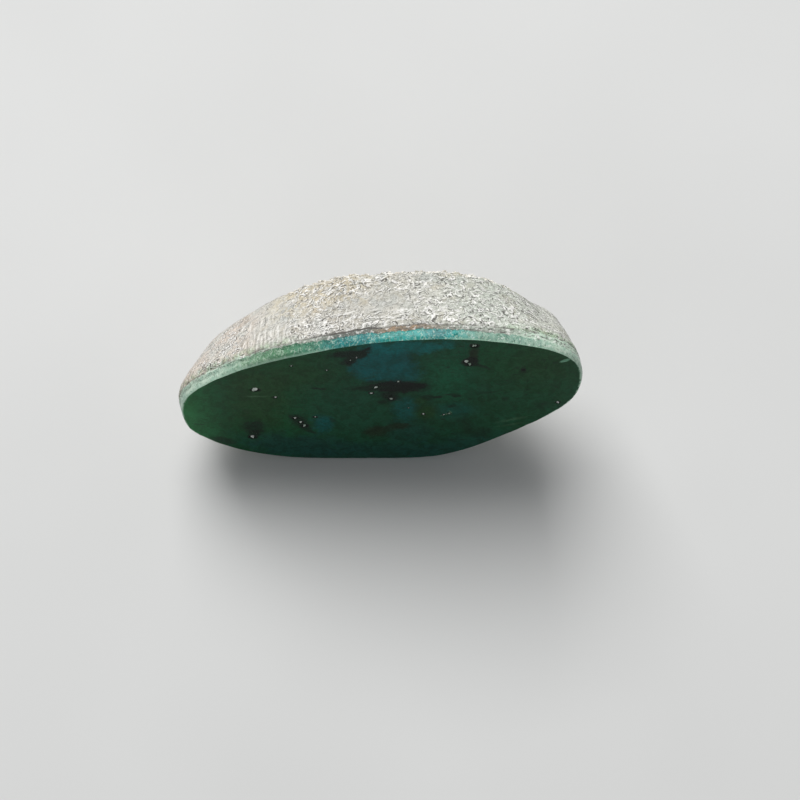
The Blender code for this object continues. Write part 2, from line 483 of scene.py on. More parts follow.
@dataclass(frozen=True)
class FaceFinish:
    """The polished green face: its clouds of green, its blue and dark patches, its specks and its gloss, with a
    painted glow at its left end and a painted highlight along its worn rim.
    """

    # The ramp's left end is a painted glow, where light diffuses through the thin stone.
    left_painted_glow: Colour = (0.055, 0.330, 0.110)
    left_green: Colour = (0.026, 0.205, 0.068)
    left: Colour = (0.011, 0.118, 0.042)
    middle: Colour = (0.012, 0.098, 0.049)
    right: Colour = (0.018, 0.114, 0.052)
    olive: Colour = (0.028, 0.086, 0.022)
    blue: Colour = (0.003, 0.142, 0.152)
    blue_top: Colour = (0.004, 0.220, 0.240)
    slate: Colour = (0.014, 0.080, 0.072)
    dark: Colour = (0.010, 0.013, 0.010)
    moss: Colour = (0.010, 0.036, 0.018)
    wedge: Colour = (0.009, 0.024, 0.014)
    brown: Colour = (0.026, 0.038, 0.016)
    pale: Colour = (0.210, 0.300, 0.180)
    # A painted highlight, where the worn rim catches the light.
    painted_rim_highlight: Colour = (0.420, 0.660, 0.480)
    deepening: Colour = (0.66, 0.88, 0.84)
    roughness: float = 0.2
    gloss: float = 0.04

    def patches(self) -> tuple[Patch, ...]:
        """The face's patches, from the lowest layer to the highest."""
        return (
            Patch((-8.9, 11.5), (2.0, 5.2), 0.0, 0.75, self.olive, 0.75),
            Patch((-6.0, 15.6), (3.6, 2.4), 25.0, 0.8, self.olive, 0.45),
            Patch((11.3, 17.4), (3.0, 3.3), 0.0, 0.8, self.olive, 0.55),
            Patch((8.6, 18.2), (1.5, 3.2), 0.0, 0.8, self.left, 0.6),
            Patch((5.3, 15.3), (1.6, 4.2), 0.0, 0.8, (0.010, 0.150, 0.072), 0.8),
            Patch((-2.6, 9.2), (2.8, 4.4), 0.0, 0.8, (0.014, 0.108, 0.056), 0.7),
            Patch((-6.3, 2.6), (4.4, 2.4), -12.0, 0.7, self.slate, 0.8),
            Patch((0.2, 1.6), (5.5, 1.8), 0.0, 0.8, self.slate, 0.6),
            Patch((6.5, 2.6), (4.4, 2.0), 22.0, 0.7, self.slate, 0.55),
            Patch((2.1, 9.6), (0.95, 1.9), 0.0, 0.6, self.blue, 0.6),
            Patch((5.9, 9.6), (1.3, 1.3), 0.0, 0.8, self.blue, 0.3),
            Patch((-4.2, 7.1), (0.75, 1.5), 0.0, 0.6, self.blue, 0.75),
            Patch((2.4, 5.4), (1.6, 2.3), 0.0, 0.8, self.slate, 0.5),
            Patch((0.35, 17.9), (2.25, 2.9), 8.0, 0.3, self.blue, 0.96),
            Patch((1.2, 16.6), (1.9, 2.4), 0.0, 0.4, self.blue, 0.8),
            Patch((-1.1, 16.4), (0.9, 1.6), 12.0, 0.5, self.blue, 0.6),
            Patch((1.9, 20.2), (3.4, 1.0), 5.0, 0.5, self.blue_top, 0.7),
            Patch((2.3, 18.8), (0.55, 0.9), 0.0, 0.8, self.slate, 0.5),
            Patch((-1.5, 18.75), (1.65, 0.58), 52.0, 0.35, self.wedge, 0.97),
            Patch((-2.15, 19.15), (1.25, 0.55), 18.0, 0.5, self.wedge, 0.92),
            Patch((-2.0, 17.6), (0.3, 0.4), 0.0, 0.5, self.dark, 0.8),
            Patch((-0.7, 19.9), (0.5, 0.16), 50.0, 0.6, self.dark, 0.7),
            Patch((1.3, 13.75), (2.15, 1.0), -4.0, 0.35, self.dark, 0.97),
            Patch((2.8, 13.6), (1.1, 0.8), 0.0, 0.6, self.dark, 0.7),
            Patch((-0.7, 13.5), (1.3, 0.45), 6.0, 0.7, self.moss, 0.85),
            Patch((0.9, 12.2), (0.8, 1.0), 0.0, 0.6, self.dark, 0.80),
            Patch((0.4, 11.1), (0.45, 0.4), 0.0, 0.6, self.moss, 0.7),
            Patch((3.7, 11.8), (0.6, 0.45), 0.0, 0.6, self.moss, 0.75),
            Patch((4.6, 11.9), (0.42, 0.25), 20.0, 0.5, self.dark, 0.75),
            Patch((5.9, 12.1), (0.35, 0.22), 0.0, 0.5, self.moss, 0.8),
            Patch((5.4, 12.35), (0.5, 0.15), 12.0, 0.6, self.moss, 0.7),
            Patch((5.6, 10.3), (0.45, 0.25), 30.0, 0.6, self.moss, 0.6),
            Patch((3.7, 9.3), (0.75, 1.3), 0.0, 0.7, self.olive, 0.85),
            Patch((3.3, 11.2), (0.5, 0.6), 0.0, 0.7, self.olive, 0.6),
            Patch((1.7, 6.6), (0.75, 0.55), 0.0, 0.6, self.brown, 0.75),
            Patch((-0.2, 5.6), (0.95, 1.0), 0.0, 0.6, self.brown, 0.8),
            Patch((0.7, 6.2), (1.4, 0.5), 20.0, 0.7, self.brown, 0.5),
            Patch((7.6, 5.6), (1.0, 0.9), 0.0, 0.8, self.moss, 0.5),
            Patch((6.6, 7.0), (0.6, 1.4), 20.0, 0.8, self.moss, 0.4),
            Patch((-9.5, 6.5), (0.95, 1.1), 0.0, 0.5, self.moss, 0.9),
            Patch((-9.7, 5.2), (0.5, 0.8), 0.0, 0.6, self.dark, 0.7),
            Patch((-12.2, 3.9), (0.9, 0.6), -20.0, 0.7, self.moss, 0.7),
            Patch((-6.0, 7.4), (0.55, 1.5), 20.0, 0.5, self.moss, 0.85),
            Patch((-5.2, 5.6), (0.5, 0.22), -40.0, 0.6, self.moss, 0.8),
            Patch((-3.4, 7.7), (0.25, 0.5), 25.0, 0.6, self.moss, 0.55),
            Patch((-4.3, 13.35), (0.55, 0.16), -12.0, 0.5, self.moss, 0.85),
            Patch((7.0, 19.0), (0.32, 1.2), 0.0, 0.6, self.brown, 0.9),
            Patch((6.8, 17.9), (0.62, 0.7), 0.0, 0.4, self.dark, 0.9),
            Patch((7.6, 17.2), (0.7, 0.2), -35.0, 0.6, self.moss, 0.8),
            Patch((10.7, 16.6), (0.22, 0.5), 0.0, 0.5, self.moss, 0.7),
            Patch((8.1, 12.7), (0.7, 0.25), 10.0, 0.6, self.moss, 0.45),
            Patch((9.6, 11.7), (0.3, 0.3), 0.0, 0.6, self.moss, 0.5),
            Patch((12.4, 10.4), (1.2, 0.5), 35.0, 0.7, self.moss, 0.35),
            Patch((-9.2, 12.0), (0.75, 0.16), 0.0, 0.6, self.pale, 0.35),
            Patch((10.4, 7.9), (1.1, 0.22), 25.0, 0.8, self.pale, 0.25),
            Patch((10.2, 6.9), (0.9, 0.18), 20.0, 0.8, self.pale, 0.22),
            Patch((5.25, 8.85), (0.5, 0.09), 28.0, 0.5, self.pale, 0.9),
            Patch((5.55, 9.1), (0.12, 0.32), 10.0, 0.5, self.pale, 0.9),
            Patch((-13.75, 7.0), (0.5, 0.07), -6.0, 0.5, self.dark, 0.8),
            # A painted highlight on the rim at the upper right.
            Patch((13.6, 18.1), (0.4, 0.16), 40.0, 0.4, self.painted_rim_highlight, 0.85),
        )

    def specks(self) -> tuple[Speck, ...]:
        """The face's pits and bright grains."""
        return (
            Speck((-9.05, 13.2), 0.27, 0.14, 0.20, 0.36),
            Speck((-7.6, 11.85), 0.15, 0.06, 0.08, 0.22),
            Speck((-9.8, 4.6), 0.24, 0.12, 0.18, 0.38),
            Speck((-6.3, 8.1), 0.15, 0.08, 0.10, 0.25),
            Speck((-5.9, 7.35), 0.15, 0.10, 0.09, 0.28),
            Speck((-5.65, 6.7), 0.18, 0.10, 0.13, 0.32),
            Speck((-4.75, 8.3), 0.11, 0.05, 0.07, 0.20),
            Speck((-6.15, 17.2), 0.11, 0.05, 0.07, 0.15),
            Speck((-3.6, 16.5), 0.10, 0.04, 0.06, 0.14),
            Speck((-1.4, 18.55), 0.10, 0.04, 0.06, 0.14),
            Speck((-1.85, 18.1), 0.09, 0.04, 0.06, 0.14),
            Speck((-0.06, 13.6), 0.14, 0.07, 0.10, 0.20),
            Speck((1.6, 14.6), 0.12, 0.05, 0.08, 0.18),
            Speck((-0.42, 12.6), 0.13, 0.05, 0.09, 0.20),
            Speck((1.05, 11.6), 0.15, 0.08, 0.11, 0.28),
            Speck((1.0, 12.1), 0.10, 0.06, 0.0, 0.20),
            Speck((7.0, 20.45), 0.24, 0.10, 0.19, 0.34),
            Speck((6.5, 17.95), 0.19, 0.10, 0.14, 0.34),
            Speck((6.75, 17.5), 0.14, 0.10, 0.09, 0.26),
            Speck((10.7, 16.6), 0.10, 0.04, 0.0, 0.20),
            Speck((3.5, 8.85), 0.13, 0.06, 0.09, 0.18),
            Speck((5.45, 8.95), 0.14, 0.05, 0.11, 0.18),
            Speck((5.05, 8.75), 0.10, 0.04, 0.07, 0.14),
            Speck((2.35, 10.0), 0.07, 0.03, 0.05, 0.10),
            Speck((13.6, 11.0), 0.15, 0.06, 0.12, 0.22),
        )

    def material(self, axes: FaceAxes) -> bpy.types.Material:
        """Makes the face's material.

        Args:
            axes: The polished face's axes.

        Returns:
            The material.
        """
        bench = Bench("polished turquoise", axes)
        stops = (
            (-14.9, self.left_painted_glow), (-13.8, self.left_green), (-11.6, self.left), (-7.0, self.left),
            (-2.0, self.middle), (6.0, self.middle), (11.0, self.right),
        )
        colour = bench.ramp(bench.split(bench.warped(2.6, 1.1))[0], stops)
        clouds = bench.noise(2.4, 3.0, 0.55, 0.6).step(0.32, 0.72)
        colour = bench.tint(clouds, colour, (0.72, 0.84, 0.70))
        close = bench.warped(0.6, 0.30)
        torn = bench.noise(1.5, 8.0, 0.72, 0.4) - 0.5
        for patch in self.patches():
            colour = bench.blend(self.patch_share(bench, close, patch, torn), colour, patch.colour)
        veins = bench.noise(0.8, 6.0, 0.66, 0.9, bench.scaled((1.0, 1.5, 1.0))).step(0.60, 0.38)
        colour = bench.tint(veins, colour, (0.62, 0.70, 0.62))
        colour = bench.tint(bench.noise(0.22, 4.0, 0.66).step(0.64, 0.36), colour, (0.72, 0.80, 0.76))
        colour = bench.blend(bench.noise(0.16, 2.0, 0.6).step(0.66, 0.80) * 0.35, colour, self.pale)
        dashes = bench.noise(1.0, 3.0, 0.55, at=bench.scaled((0.9, 0.42, 1.0), close)).step(0.60, 0.70)
        colour = bench.blend(dashes * bench.across.step(1.5, 5.5) * 0.75, colour, self.moss)
        for speck in self.specks():
            stain = Patch(speck.centre, (speck.stain, speck.stain), 0.0, 0.3, self.dark, 0.92)
            colour = bench.blend(self.patch_share(bench, bench.place, stain, torn), colour, self.dark)
        colour = bench.tint(1.0, colour, self.deepening)
        # Painted highlight along the worn rim, broken up by noise.
        rim = bench.attribute("edge").step(0.34, 0.60) * bench.noise(0.6, 3.0, 0.6).step(0.38, 0.54)
        smears = bench.noise(1.4, 3.0, 0.6, at=bench.scaled((2.4, 1.0, 1.0)))
        return bench.finish(
            base_color=bench.blend(rim, colour, self.painted_rim_highlight),
            roughness=smears * 0.12 + (self.roughness - 0.06) + bench.attribute("hollow") * 0.4,
            specular_ior_level=self.gloss,
            normal=bench.bump(bench.noise(1.0, 2.0, at=bench.scaled((0.6, 0.12, 0.3))), 0.000003),
        )

    def patch_share(self, bench: Bench, place: Signal, patch: Patch, torn: Signal) -> Signal:
        """How much of a patch's colour shows, with its border softened and frayed.

        Args:
            bench: The material's bench.
            place: The place on the face's axes.
            patch: The patch.
            torn: Noise round 0 that frays the border.

        Returns:
            The share.
        """
        inputs = {
            "Vector": place,
            "Location": (*patch.centre, 0.0),
            "Rotation": (0.0, 0.0, math.radians(patch.turn)),
            "Scale": (*patch.radii, 100.0),
        }
        inside = bench.node("Mapping", inputs, vector_type="TEXTURE")
        away = bench.node("VectorMath", {0: inside}, "Value", operation="LENGTH") + torn * 2.2
        return away.step(1.0 + 0.8 * patch.soft, 1.0 - 0.8 * patch.soft) * patch.strength


@dataclass(frozen=True)
class RockFinish:
    """The ground turquoise layer, the brown contact under it and the pale host rock."""

    cream: Colour = (0.74, 0.705, 0.635)
    grey: Colour = (0.61, 0.61, 0.57)
    blush: Colour = (0.72, 0.60, 0.51)
    tan: Colour = (0.70, 0.62, 0.46)
    ochre: Colour = (0.46, 0.34, 0.19)
    # Dark for strokes and lines, and painted shade in the relief's pits.
    soot_and_shade: Colour = (0.105, 0.100, 0.090)
    # Pale for flecks and chalk, and painted highlight on the relief's peaks and beside strokes.
    bone_and_highlight: Colour = (0.90, 0.885, 0.85)
    frost: Colour = (0.500, 0.630, 0.510)
    # The worn edge's painted highlight, a pale mint.
    painted_rim_highlight_mint: Colour = (0.400, 0.620, 0.470)
    pale_green: Colour = (0.260, 0.400, 0.270)
    mint: Colour = (0.098, 0.235, 0.125)
    sea: Colour = (0.075, 0.220, 0.150)
    deep_teal: Colour = (0.020, 0.200, 0.200)
    teal: Colour = (0.026, 0.310, 0.280)
    pale_mint: Colour = (0.235, 0.375, 0.300)
    contact_grey: Colour = (0.165, 0.185, 0.165)
    contact_brown: Colour = (0.255, 0.220, 0.170)
    contact_orange: Colour = (0.350, 0.235, 0.145)
    contact_pale: Colour = (0.340, 0.370, 0.320)
    gloss: float = 0.3

    def material(self, axes: FaceAxes) -> bpy.types.Material:
        """Makes the belt's and the back's material.

        Args:
            axes: The polished face's axes.

        Returns:
            The material.
        """
        bench = Bench("ground layer and host rock", axes)
        across, depth, seam = bench.across, bench.depth, bench.attribute("seam")
        tinge = (across.step(-4.5, -7.5) + across.step(8.0, 10.5)) * (depth - seam).step(0.75, 0.0)
        tinge = tinge * bench.noise(0.5, 4.0, 0.66).step(0.36, 0.58)
        rock = bench.tint(tinge * 0.8, self.rock(bench), (0.60, 0.80, 0.60))
        coarse = bench.noise(0.9, 4.0, 0.6) - 0.5
        fine = bench.noise(0.20, 3.0, 0.6, 0.6) - 0.5
        past = depth + (coarse * 0.45 + fine * 0.32) - seam
        thick = across.step(-8.0, -1.5) * 0.22 + 0.16 + across.step(5.0, 9.0) * 0.16
        colour = bench.blend((past + thick).step(-0.05, 0.05), self.layer(bench), self.contact(bench))
        colour = bench.blend(past.step(-0.05, 0.03), colour, rock)
        off_line = abs(depth + coarse * 0.3 - seam)
        gaps = bench.noise(1.0, 4.0, 0.6, at=bench.scaled((0.8, 1.2, 0.8))).step(0.42, 0.52)
        left_part = across.step(-4.4, -3.0) * across.step(1.4, 0.0)
        line = off_line.step(0.095, 0.04) * (gaps.most(left_part) * (left_part * 0.45 + 0.55))
        colour = bench.blend(line, colour, self.soot_and_shade)
        inner = abs(past + thick).step(0.07, 0.02) * bench.noise(1.4, 3.0, 0.6).step(0.50, 0.60)
        rough = past.step(-0.5, -0.1)
        return bench.finish(
            base_color=bench.blend(inner * 0.7, colour, self.soot_and_shade),
            roughness=rough * 0.5 + 0.4,
            specular_ior_level=self.gloss,
            normal=self.grain(bench, rough),
        )

    def strokes(self, bench: Bench, size: float, width: float, seen: float, at: Signal | None = None) -> Signal:
        """Short winding strokes, such as the edges of grains that were ground through.

        Args:
            bench: The material's bench.
            size: How far apart the strokes are.
            width: How wide they are, as a share of the noise's range.
            seen: How much of their length is left out.
            at: The place that they follow, if it isn't the bench's own.

        Returns:
            The strokes' share.
        """
        bends = abs(bench.noise(size, 1.5, 0.5, 1.1, at) - 0.5)
        broken_up = bench.noise(0.8 * size, 2.0, 0.6, at=at).step(seen, seen + 0.06)
        return bends.step(width, 0.25 * width) * broken_up

    def rock(self, bench: Bench) -> Signal:
        """The host rock's colour: cream and grey with tan areas, thin winding strokes with a painted highlight beside
        some, grinding marks with painted shadow in their troughs, painted shade in pits and painted highlight on
        peaks.

        Args:
            bench: The material's bench.

        Returns:
            The colour.
        """
        across, depth, broken, relief = bench.across, bench.depth, bench.attribute("broken"), bench.attribute("relief")
        shade = bench.noise(2.2, 4.0, 0.6, 0.4).step(0.34, 0.68).most(across.step(3.0, 9.0) * 0.8)
        blushing = across.step(-7.6, -10.0) * bench.noise(1.6, 3.0).step(0.34, 0.60)
        warm = across.step(-8.8, -6.5) * across.step(2.5, -2.5) * depth.step(2.4, 4.6)
        spots = bench.noise(0.7, 3.0, 0.6, 0.8).step(0.40, 0.58)
        stained = bench.noise(3.1, 4.0, 0.62, 0.5).step(0.46, 0.66) * broken
        rusty = bench.noise(1.1, 4.0, 0.66, 0.9).step(0.58, 0.70) * broken.most(warm * 0.8)
        colour = bench.blend(shade, self.cream, self.grey)
        areas = (
            (blushing * 0.62, self.blush), (warm * spots * 0.85, self.tan), (stained * 0.75, self.tan),
            (rusty * 0.7, self.ochre),
        )
        for share, tone in areas:
            colour = bench.blend(share, colour, tone)
        dusky = bench.noise(1.2, 4.0, 0.6, 0.5).step(0.52, 0.66)
        colour = bench.tint(dusky * 0.5, colour, (0.80, 0.74, 0.66))
        tones = (
            (-13.0, (1.0, 1.0, 1.0)), (-8.0, (0.91, 0.92, 0.92)), (-3.0, (0.79, 0.79, 0.79)),
            (3.0, (0.76, 0.78, 0.77)), (8.0, (0.84, 0.90, 0.86)), (13.0, (0.96, 1.0, 0.96)),
        )
        colour = bench.tint(1.0, colour, bench.ramp(across, tones))
        calm = self.calm(bench)
        busy = 1.0 - calm
        mottle = bench.noise(0.19, 4.0, 0.7).step(0.40, 0.60)
        colour = bench.tint(1.0 - mottle.most(calm * 0.6), colour, (0.73, 0.725, 0.71))
        lain = bench.scaled((1.3, 1.0, 1.0))
        # The strokes moved slightly aside: their pale copies are a painted highlight beside the dark ones, which makes
        # them look embossed.
        emboss_highlight_place = bench.node("VectorMath", {0: lain, 1: (0.02, 0.10, -0.05)}, operation="ADD")
        ends = across.step(-9.0, -10.5) + across.step(9.0, 11.0)
        marks = self.furrows(bench)
        # How strong the painted highlight and shade of the relief are, more on the broken back.
        strength = broken * 0.35 + 0.28
        details = (
            (self.strokes(bench, 0.58, 0.050, 0.43, lain) * (busy * 0.95), self.soot_and_shade),
            (self.strokes(bench, 0.72, 0.038, 0.49) * (ends * 0.7), self.soot_and_shade),
            (self.strokes(bench, 0.30, 0.060, 0.46, lain) * (busy * 0.85), self.soot_and_shade),
            (self.strokes(bench, 0.58, 0.056, 0.43, emboss_highlight_place) * busy * 0.8, self.bone_and_highlight),
            (bench.noise(0.14, 2.0, 0.6).step(0.58, 0.66) * (busy * 0.8), self.bone_and_highlight),
        )
        for share, tone in details:
            colour = bench.blend(share, colour, tone)
        # Grinding marks: pale raised lines, with painted shadow in their troughs.
        colour = bench.tint(marks.step(-0.04, -0.14) * 0.55, colour, (0.40, 0.40, 0.39))
        colour = bench.blend(marks.step(0.05, 0.14) * 0.40, colour, self.bone_and_highlight)
        # Painted highlight on the relief's peaks and painted shade in its pits.
        colour = bench.blend(relief.step(0.03, 0.20) * strength, colour, self.bone_and_highlight)
        return bench.blend(relief.step(-0.03, -0.12) * strength, colour, self.soot_and_shade)

    def calm(self, bench: Bench) -> Signal:
        """Where the ground rock is smooth: a field in the middle, the left end, the streaked part and chance spots.

        Args:
            bench: The material's bench.

        Returns:
            The share, from 0 to 1.
        """
        across, depth = bench.across, bench.depth
        middle = across.step(-3.4, -1.6) * across.step(3.6, 1.4) * (depth.step(2.2, 2.8) * depth.step(4.9, 4.2))
        streaked = across.step(-10.0, -9.2) * across.step(-5.8, -6.8)
        end = across.step(-12.8, -14.0) * 0.7
        chance = bench.noise(1.5, 3.0, 0.6).step(0.46, 0.60) * 0.6
        return middle.most(chance).most(streaked.most(end)) * (1.0 - bench.attribute("broken")) * 0.70

    def furrows(self, bench: Bench) -> Signal:
        """Grinding marks: across the belt at the left, slanting along it in the middle near the contact.

        Args:
            bench: The material's bench.

        Returns:
            How far a mark stands out, round 0.
        """
        across, depth = bench.across, bench.depth
        flat = bench.node("CombineXYZ", {0: across, 1: depth})
        upright = bench.noise(1.0, at=bench.scaled((0.15, 1.5, 1.0), flat)) - 0.5
        left = across.step(-10.4, -9.2) * across.step(-5.6, -7.0) * depth.step(5.2, 3.6)
        inputs = {"Vector": bench.attribute("belt", "Vector"), "Rotation": (0.0, 0.0, math.radians(9.0))}
        lying = bench.noise(1.0, at=bench.scaled((1.9, 0.14, 1.0), bench.node("Mapping", inputs))) - 0.5
        middle = across.step(-6.4, -4.4) * across.step(4.0, 1.5) * depth.step(3.4, 2.4)
        return upright * left + lying * middle

    def layer(self, bench: Bench) -> Signal:
        """The ground edge of the turquoise layer: mint, teal and pale mint along the belt, with white flecks and a
        painted highlight along the worn edge.

        Args:
            bench: The material's bench.

        Returns:
            The colour.
        """
        stops = (
            (-14.5, self.frost), (-11.6, self.frost), (-9.4, self.pale_green), (-7.2, self.mint), (-4.4, self.sea),
            (-2.4, self.deep_teal), (-0.6, self.deep_teal), (0.8, self.teal), (3.0, self.teal), (4.4, self.deep_teal),
            (5.6, self.teal), (7.6, self.pale_mint), (10.4, self.pale_mint), (12.6, self.frost),
        )
        colour = bench.ramp(bench.noise(1.0, 4.0, 0.6) * 2.0 + (bench.across - 1.0), stops)
        colour = bench.tint(bench.noise(0.5, 4.0, 0.62, 0.4).step(0.62, 0.36), colour, (0.62, 0.74, 0.72))
        ridges = self.strokes(bench, 0.46, 0.06, 0.44, bench.scaled((0.8, 1.0, 1.0)))
        colour = bench.blend(ridges * 0.48, colour, self.frost)
        colour = bench.tint(self.strokes(bench, 0.33, 0.07, 0.46) * 0.8, colour, (0.42, 0.48, 0.44))
        # Painted highlight along the worn edge, strongest at the left end and the lower right.
        colour = bench.blend(bench.attribute("edge"), colour, self.painted_rim_highlight_mint)
        chalky = bench.noise(0.18, 3.0, 0.66).step(0.58, 0.68)
        return bench.blend(chalky * (bench.across.step(4.0, 9.0) * 0.35 + 0.20), colour, self.bone_and_highlight)

    def contact(self, bench: Bench) -> Signal:
        """The thin zone between layer and rock: brown and orange in the middle, chalky towards the ends.

        Args:
            bench: The material's bench.

        Returns:
            The colour.
        """
        across = bench.across
        stops = (
            (-9.5, self.frost), (-7.0, self.contact_pale), (-4.4, self.contact_pale), (-2.8, self.contact_grey),
            (-0.6, self.contact_grey), (0.4, self.contact_brown), (3.6, self.contact_brown), (6.0, self.contact_pale),
            (9.0, self.contact_pale), (11.0, self.frost),
        )
        orange = bench.noise(0.5, 4.0, 0.66).step(0.46, 0.58) * (across.step(-0.4, 0.6) * across.step(3.8, 2.4))
        chalk = bench.noise(0.22, 3.0, 0.62).step(0.52, 0.62)
        dark = bench.noise(0.26, 3.0, 0.66, at=bench.scaled((1.4, 1.0, 0.5))).step(0.47, 0.41)
        colour = bench.blend(orange * 0.8, bench.ramp(across, stops), self.contact_orange)
        return bench.blend(dark * 0.75, bench.blend(chalk * 0.55, colour, self.bone_and_highlight), self.soot_and_shade)

    def grain(self, bench: Bench, rough: Signal) -> Signal:
        """Fine grain that is too small for the mesh: gritty rock, and scratches along the ground belt.

        Args:
            bench: The material's bench.
            rough: How much of the rock's grit shows.

        Returns:
            The normal.
        """
        grooves = 1.0 - self.strokes(bench, 0.58, 0.045, 0.48, bench.scaled((1.3, 1.0, 1.0)))
        height = bench.noise(0.15, 3.0, 0.7) * 0.8 + grooves * 0.4
        scratches = bench.noise(1.0, 2.0, 0.6, at=bench.scaled((2.6, 0.07, 1.0), bench.attribute("belt", "Vector")))
        return bench.bump(height * rough, 0.00011, bench.bump(scratches, 0.000012))


class Zone(IntEnum):
    """The parts of the skin's surface, for its map and its finishes."""

    FACE = 0
    BELT = 1
    BACK = 2


